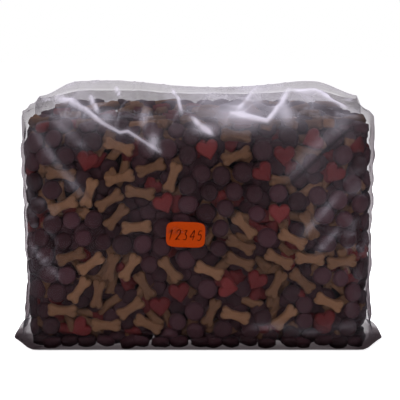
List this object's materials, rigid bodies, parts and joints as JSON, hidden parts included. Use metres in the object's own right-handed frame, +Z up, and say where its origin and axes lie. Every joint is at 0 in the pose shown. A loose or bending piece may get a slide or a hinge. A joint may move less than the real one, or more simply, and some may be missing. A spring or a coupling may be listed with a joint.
{
  "type": "clear film bag of dry pet food",
  "caption": "Filled clear film pouch of mixed dry kibble, its loose top folded over the back, with a small price sticker on the front.",
  "frame": {"origin": "on the surface it stands on, under the middle of the bag's outline", "axes": "+X to the right seen from the front, -Y the front with the sticker, +Z up"},
  "size_m": [0.2406, 0.0928, 0.165],
  "materials": {
    "clear_film": "thin clear film, glossy, lightly creased",
    "orange_paper": "matt orange sticker paper",
    "round_kibble": "dark brown dry food, rough",
    "bone_kibble": "tan dry food, rough",
    "heart_kibble": "dark red dry food, rough"
  },
  "bodies": {
    "root": {"bag_film": "clear_film", "bone_kibble_01": "bone_kibble", "bone_kibble_02": "bone_kibble", "bone_kibble_03": "bone_kibble", "bone_kibble_04": "bone_kibble", "bone_kibble_05": "bone_kibble", "bone_kibble_06": "bone_kibble", "bone_kibble_07": "bone_kibble", "bone_kibble_08": "bone_kibble", "bone_kibble_09": "bone_kibble", "bone_kibble_10": "bone_kibble", "bone_kibble_11": "bone_kibble", "bone_kibble_12": "bone_kibble", "bone_kibble_13": "bone_kibble", "bone_kibble_14": "bone_kibble", "bone_kibble_15": "bone_kibble", "bone_kibble_16": "bone_kibble", "bone_kibble_17": "bone_kibble", "bone_kibble_18": "bone_kibble", "bone_kibble_19": "bone_kibble", "bone_kibble_20": "bone_kibble", "bone_kibble_21": "bone_kibble", "bone_kibble_22": "bone_kibble", "bone_kibble_23": "bone_kibble", "bone_kibble_24": "bone_kibble", "bone_kibble_25": "bone_kibble", "bone_kibble_26": "bone_kibble", "bone_kibble_27": "bone_kibble", "bone_kibble_28": "bone_kibble", "bone_kibble_29": "bone_kibble", "bone_kibble_30": "bone_kibble", "bone_kibble_31": "bone_kibble", "bone_kibble_32": "bone_kibble", "bone_kibble_33": "bone_kibble", "bone_kibble_34": "bone_kibble", "bone_kibble_35": "bone_kibble", "bone_kibble_36": "bone_kibble", "bone_kibble_37": "bone_kibble", "bone_kibble_38": "bone_kibble", "bone_kibble_39": "bone_kibble", "bone_kibble_40": "bone_kibble", "heart_kibble_01": "heart_kibble", "heart_kibble_02": "heart_kibble", "heart_kibble_03": "heart_kibble", "heart_kibble_04": "heart_kibble", "heart_kibble_05": "heart_kibble", "heart_kibble_06": "heart_kibble", "heart_kibble_07": "heart_kibble", "heart_kibble_08": "heart_kibble", "heart_kibble_09": "heart_kibble", "heart_kibble_10": "heart_kibble", "heart_kibble_11": "heart_kibble", "heart_kibble_12": "heart_kibble", "heart_kibble_13": "heart_kibble", "heart_kibble_14": "heart_kibble", "kibble_bed": "round_kibble", "price_sticker": "orange_paper"}
  },
  "joints": []
}
